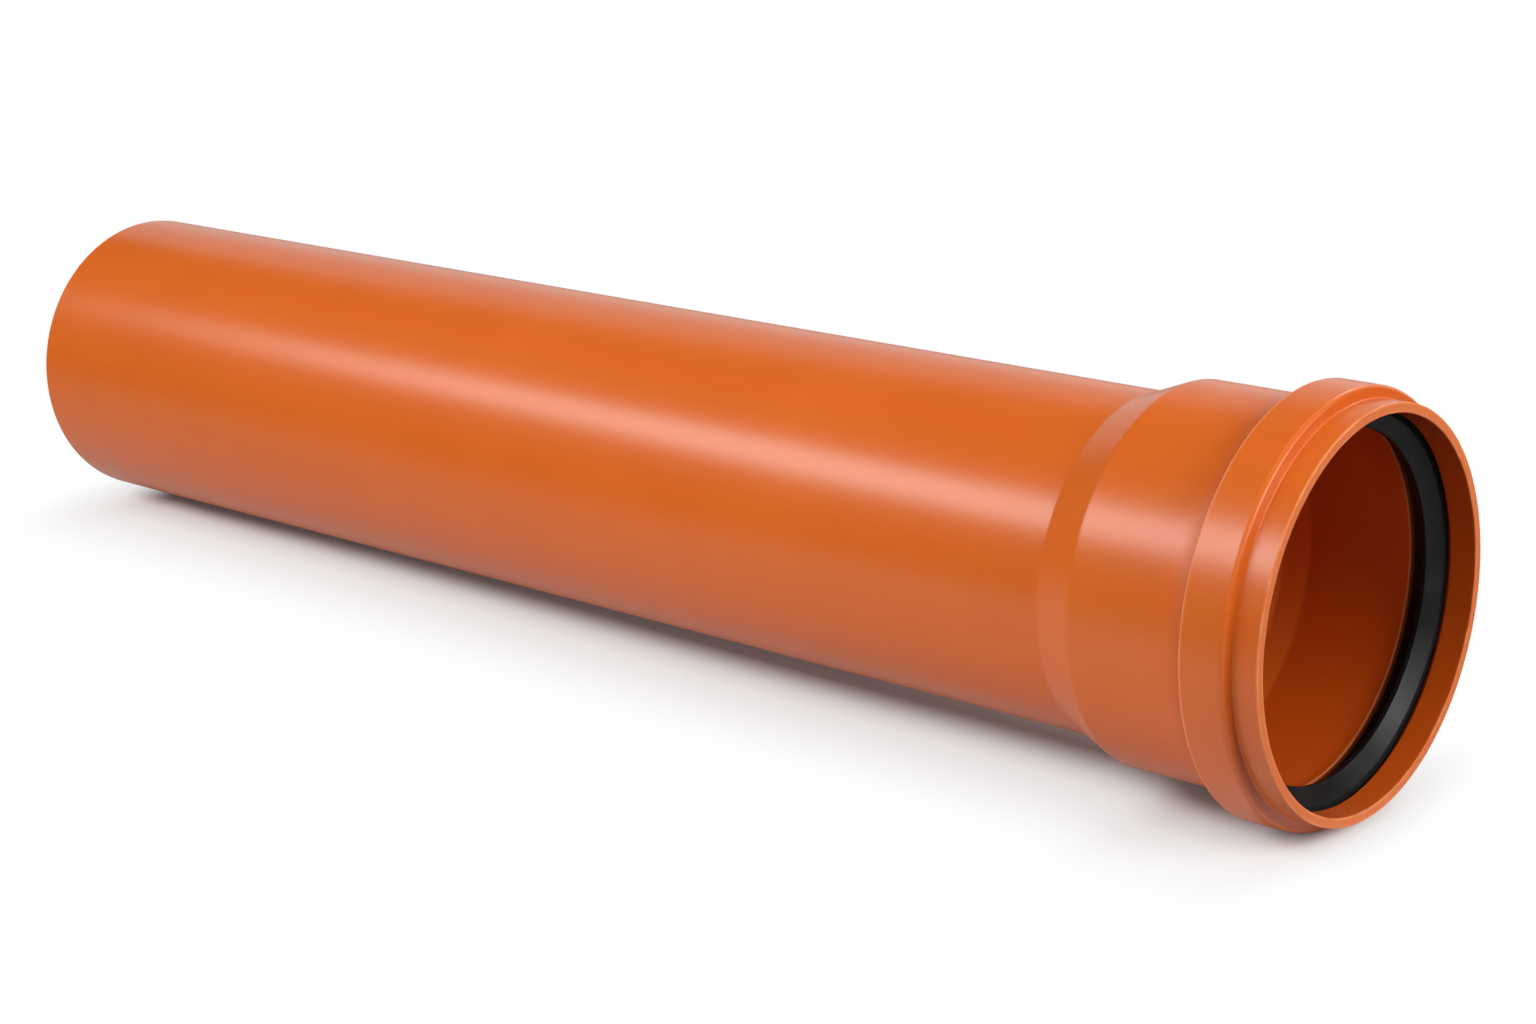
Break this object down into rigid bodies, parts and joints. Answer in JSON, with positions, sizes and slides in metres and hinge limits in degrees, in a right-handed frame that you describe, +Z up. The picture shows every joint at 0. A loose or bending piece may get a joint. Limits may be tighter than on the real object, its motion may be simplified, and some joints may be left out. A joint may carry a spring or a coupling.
{
  "type": "pvc sewer pipe",
  "caption": "Orange-brown PVC sewer pipe, plain spigot at one end, formed socket with a beaded seal groove and a rubber lip ring at the other.",
  "frame": {"origin": "on the floor under the middle of the pipe's axis, as the pipe lies at rest", "axes": "+X along the pipe from the spigot to the socket's mouth, leaning up 1.3 degrees, +Z up"},
  "size_m": [0.5766, 0.1354, 0.1357],
  "materials": {
    "pipe_pvc": "smooth extruded orange-brown PVC-U, satin to glossy",
    "seal_rubber": "moulded dark grey rubber, satin"
  },
  "bodies": {
    "root": {"pipe": "pipe_pvc", "sealing_ring": "seal_rubber"}
  },
  "joints": []
}
